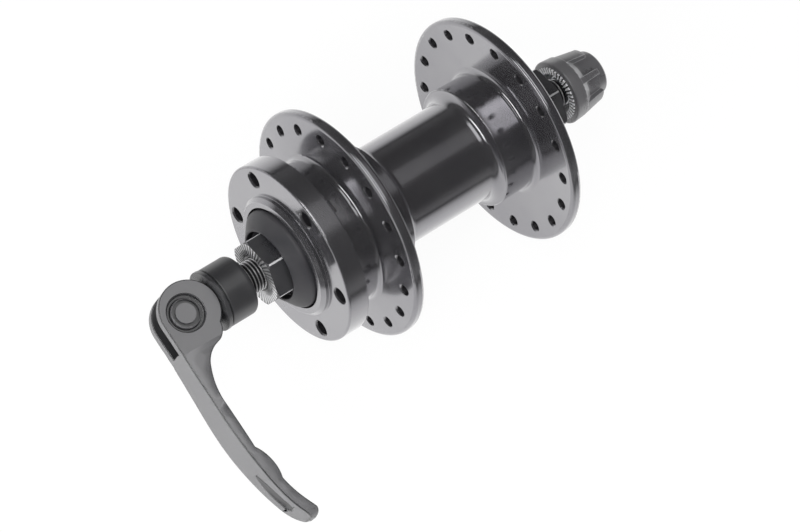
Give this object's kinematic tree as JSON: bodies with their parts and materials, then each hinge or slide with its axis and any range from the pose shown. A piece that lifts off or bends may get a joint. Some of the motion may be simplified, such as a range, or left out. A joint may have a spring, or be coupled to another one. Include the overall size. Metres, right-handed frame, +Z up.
{
  "type": "disc brake front hub",
  "caption": "Bicycle front hub with spoke flanges, a bolt-on disc mount, cup-and-cone bearings and a quick-release skewer with cam lever and adjusting nut.",
  "frame": {"origin": "centre of the axle, midway between the outer faces of the two lock nuts", "axes": "+Y along the axle towards the disc mount and the lever, +Z up, the closed lever points along -X (rearward)"},
  "size_m": [0.095, 0.1495, 0.0668],
  "materials": {
    "shell_black": "gloss black anodised",
    "lever_black": "satin black anodised",
    "collar_black": "satin black anodised",
    "seat_black": "smooth black",
    "black_steel": "black oxide",
    "axle_steel": "dark oxide",
    "bright_steel": "bright zinc",
    "bearing_steel": "ground and polished",
    "seal_rubber": "satin black",
    "cap_plastic": "fine matt black",
    "nylon": "plain white"
  },
  "bodies": {
    "axle_assembly": {"axle": "axle_steel", "left_cone": "bearing_steel", "left_cone_washer": "black_steel", "left_locknut": "black_steel", "left_seal_boot": "seal_rubber", "right_cone": "bearing_steel", "right_cone_washer": "black_steel", "right_locknut": "black_steel", "right_seal_boot": "seal_rubber"},
    "shell": {"hub_shell": "shell_black", "left_bearing_cup": "bearing_steel", "right_bearing_cup": "bearing_steel", "left_dust_cap": "bright_steel", "right_dust_cap": "bright_steel"},
    "left_bearing": {"left_ball_set": "bearing_steel", "left_ball_cage": "bright_steel"},
    "right_bearing": {"right_ball_set": "bearing_steel", "right_ball_cage": "bright_steel"},
    "skewer": {"skewer_rod": "bright_steel", "cross_pin": "black_steel", "left_spring": "bright_steel"},
    "lever": {"cam_lever": "lever_black"},
    "collar": {"thrust_collar": "collar_black", "cam_seat": "seat_black"},
    "nut_slider": {"right_spring": "bright_steel"},
    "nut": {"nut_insert": "bright_steel", "locking_ring": "nylon", "nut_cap": "cap_plastic"}
  },
  "joints": [
    {"name": "shell_spin", "type": "hinge", "parent": "axle_assembly", "child": "shell", "pos_m": [0, 0, 0], "axis": [0, 1, 0], "continuous": true},
    {"name": "left_bearing_spin", "type": "hinge", "parent": "axle_assembly", "child": "left_bearing", "pos_m": [0, 0.0317, 0], "axis": [0, 1, 0], "continuous": true},
    {"name": "right_bearing_spin", "type": "hinge", "parent": "axle_assembly", "child": "right_bearing", "pos_m": [0, -0.0317, 0], "axis": [0, 1, 0], "continuous": true},
    {"name": "skewer_turn", "type": "hinge", "parent": "axle_assembly", "child": "skewer", "pos_m": [0, 0, 0], "axis": [0, 1, 0], "continuous": true},
    {"name": "lever_swing", "type": "hinge", "parent": "skewer", "child": "lever", "pos_m": [0, 0.0742, 0], "axis": [0, 0, -1], "range_deg": [0, 180]},
    {"name": "collar_slide", "type": "slide", "parent": "skewer", "child": "collar", "axis": [0, 1, 0], "range_m": [0, 0.0016], "deforming": ["left_spring"]},
    {"name": "nut_travel", "type": "slide", "parent": "skewer", "child": "nut_slider", "axis": [0, 1, 0], "range_m": [-0.0032, 0.0016], "deforming": ["right_spring"]},
    {"name": "nut_turn", "type": "hinge", "parent": "nut_slider", "child": "nut", "pos_m": [0, -0.0534, 0], "axis": [0, 1, 0], "range_deg": [-1440, 720]}
  ],
  "couplings": [
    {"joint": "left_bearing_spin", "follows": "shell_spin", "ratio": 0.599},
    {"joint": "right_bearing_spin", "follows": "shell_spin", "ratio": 0.599},
    {"joint": "collar_slide", "follows": "lever_swing", "m_per_rad": 0.00050929},
    {"joint": "nut_travel", "follows": "nut_turn", "m_per_rad": 0.00012732}
  ]
}
